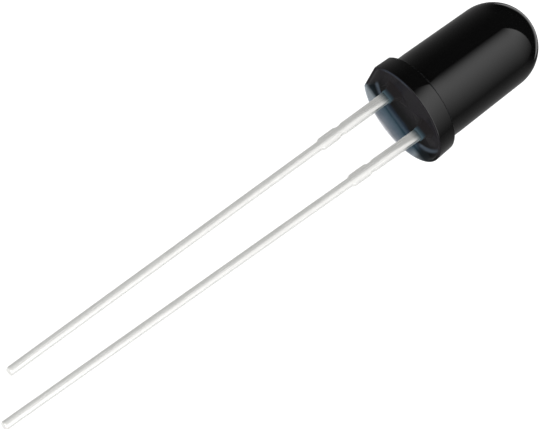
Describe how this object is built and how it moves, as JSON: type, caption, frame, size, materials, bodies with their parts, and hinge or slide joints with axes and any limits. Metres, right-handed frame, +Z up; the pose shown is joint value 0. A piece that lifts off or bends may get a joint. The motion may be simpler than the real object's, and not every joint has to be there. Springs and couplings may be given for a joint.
{
  "type": "flame sensor",
  "caption": "Two-lead infrared light sensor with a round dome-ended black epoxy body, a flange with one flat, and long straight tinned leads of unequal length.",
  "frame": {"origin": "on the surface the part lies on, below the optical axis, half-way between the dome's end and the longer lead's tip", "axes": "+X towards the dome, +Y towards the side of the shorter collector lead and the flange's flat, +Z up from the surface; the optical axis rises 5.61 degrees towards the dome and the lead row is rolled 5.65 degrees, as the part comes to rest on its rim and both tips"},
  "size_m": [0.0362, 0.0056, 0.0059],
  "materials": {
    "black_epoxy": "gloss",
    "tinned_steel": "satin",
    "silicon": "polished",
    "silver_adhesive": "matte",
    "gold_wire": "polished"
  },
  "bodies": {
    "root": {"lens_body": "black_epoxy", "collector_lead": "tinned_steel", "emitter_lead": "tinned_steel", "sensor_die": "silicon", "die_attach": "silver_adhesive", "bond_wire": "gold_wire"}
  },
  "joints": []
}
